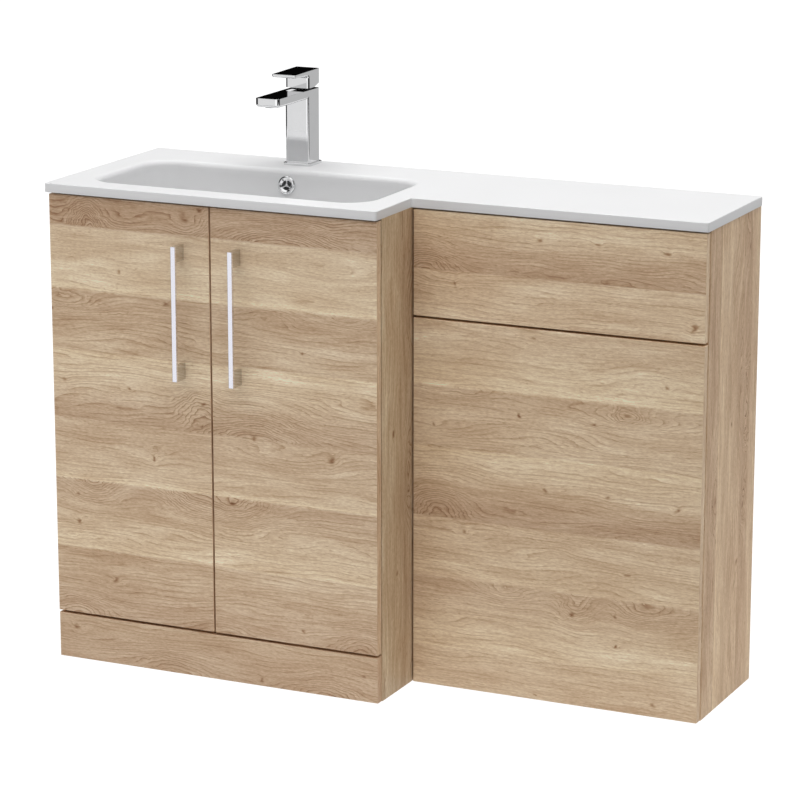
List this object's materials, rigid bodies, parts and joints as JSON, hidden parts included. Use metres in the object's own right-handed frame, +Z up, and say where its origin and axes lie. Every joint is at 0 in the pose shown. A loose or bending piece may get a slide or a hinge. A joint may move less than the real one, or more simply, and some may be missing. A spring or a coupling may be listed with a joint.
{
  "type": "vanity unit",
  "caption": "L-shaped floor-standing vanity and concealed-cistern cabinet in light oak, with a white one-piece basin top, chrome lever tap, bar handles and two hinged doors.",
  "frame": {"origin": "bottom centre of the bounding box, on the floor", "axes": "+X to the right seen from the front, +Y towards the wall, +Z up; the doors face -Y"},
  "size_m": [1.1, 0.4074, 0.9682],
  "materials": {
    "oak_board": "satin",
    "beech_dowel": "matt",
    "white_basin": "gloss",
    "polished_chrome": "polished",
    "handle_chrome": "polished",
    "dark_chrome": "satin",
    "zinc_steel": "zinc plated",
    "zinc_casting": "as cast",
    "nickel_steel": "nickel plated",
    "white_plastic": "matt",
    "grey_plastic": "matt",
    "clear_rubber": "satin",
    "black_rubber": "matt",
    "brass": "machined"
  },
  "bodies": {
    "cabinet": {"access_panel_sockets": "white_plastic", "basin_bowl": "white_basin", "basin_top": "white_basin", "bracket_screws": "zinc_steel", "cabinet_connectors": "zinc_steel", "cam_bolts": "zinc_steel", "cam_locks": "zinc_casting", "hinge_arms": "nickel_steel", "hinge_plate_screws": "zinc_steel", "hinge_plates": "nickel_steel", "overflow_ring": "polished_chrome", "plinth_blocks": "white_plastic", "plinth_panel": "oak_board", "shelf_pins": "zinc_steel", "soft_buffers": "clear_rubber", "tap_aerator": "grey_plastic", "tap_base_ring": "polished_chrome", "tap_body": "polished_chrome", "tap_cartridge": "white_plastic", "tap_cartridge_nut": "dark_chrome", "tap_fixing_nut": "brass", "tap_fixing_washer": "zinc_steel", "tap_stud": "brass", "vanity_back_rail_lower": "oak_board", "vanity_back_rail_upper": "oak_board", "vanity_base": "oak_board", "vanity_front_rail": "oak_board", "vanity_shelf": "oak_board", "vanity_side_left": "oak_board", "vanity_side_right": "oak_board", "wall_brackets": "zinc_steel", "waste_back_nut": "white_plastic", "waste_body": "polished_chrome", "waste_seals": "black_rubber", "wc_back_rails": "oak_board", "wc_front_panel": "oak_board", "wc_front_rail_lower": "oak_board", "wc_front_rail_middle": "oak_board", "wc_front_rail_upper": "oak_board", "wc_panel_screws": "zinc_steel", "wc_side_left": "oak_board", "wc_side_right": "oak_board", "wooden_dowels": "beech_dowel"},
    "left_door": {"left_door": "oak_board", "left_handle": "handle_chrome", "left_door_screws": "zinc_steel", "left_hinge_cups": "nickel_steel"},
    "right_door": {"right_door": "oak_board", "right_handle": "handle_chrome", "right_door_screws": "zinc_steel", "right_hinge_cups": "nickel_steel"},
    "left_hinge_links": {"left_hinge_links": "nickel_steel"},
    "right_hinge_links": {"right_hinge_links": "nickel_steel"},
    "tap_carrier": {"tap_carrier": "dark_chrome"},
    "tap_lever": {"tap_lever": "polished_chrome", "tap_lever_stem": "brass", "tap_grub_screw": "zinc_steel"},
    "waste_plug": {"waste_plug": "polished_chrome"},
    "access_panel": {"wc_access_panel": "oak_board", "access_panel_studs": "zinc_steel"}
  },
  "joints": [
    {"name": "right_hinge_swing", "type": "hinge", "parent": "cabinet", "child": "right_hinge_links", "pos_m": [0.0175, -0.16075, 0.4355], "axis": [0, 0, 1], "range_deg": [-30.5, 0]},
    {"name": "right_door_swing", "type": "hinge", "parent": "right_hinge_links", "child": "right_door", "pos_m": [0.0395, -0.16275, 0.4355], "axis": [0, 0, 1], "range_deg": [0, 125]},
    {"name": "left_hinge_swing", "type": "hinge", "parent": "cabinet", "child": "left_hinge_links", "pos_m": [-0.5125, -0.16075, 0.4355], "axis": [0, 0, -1], "range_deg": [-30.5, 0]},
    {"name": "left_door_swing", "type": "hinge", "parent": "left_hinge_links", "child": "left_door", "pos_m": [-0.5345, -0.16275, 0.4355], "axis": [0, 0, -1], "range_deg": [0, 125]},
    {"name": "tap_turn", "type": "hinge", "parent": "cabinet", "child": "tap_carrier", "pos_m": [-0.2506, 0.16525, 0.93], "axis": [0, 0, 1], "range_deg": [-45, 45]},
    {"name": "tap_lift", "type": "hinge", "parent": "tap_carrier", "child": "tap_lever", "pos_m": [-0.2506, 0.16525, 0.93], "axis": [-1, 0, 0], "range_deg": [0, 18]},
    {"name": "plug_press", "type": "slide", "parent": "cabinet", "child": "waste_plug", "axis": [0, 0, -1], "range_m": [0, 0.008], "stiffness_N_per_m": 300, "springref_m": -0.012},
    {"name": "access_panel_pull", "type": "slide", "parent": "cabinet", "child": "access_panel", "axis": [0, -1, 0], "range_m": [0, 0.12]}
  ],
  "couplings": [
    {"joint": "right_hinge_swing", "follows": "right_door_swing", "ratio": -0.24},
    {"joint": "left_hinge_swing", "follows": "left_door_swing", "ratio": -0.24}
  ]
}
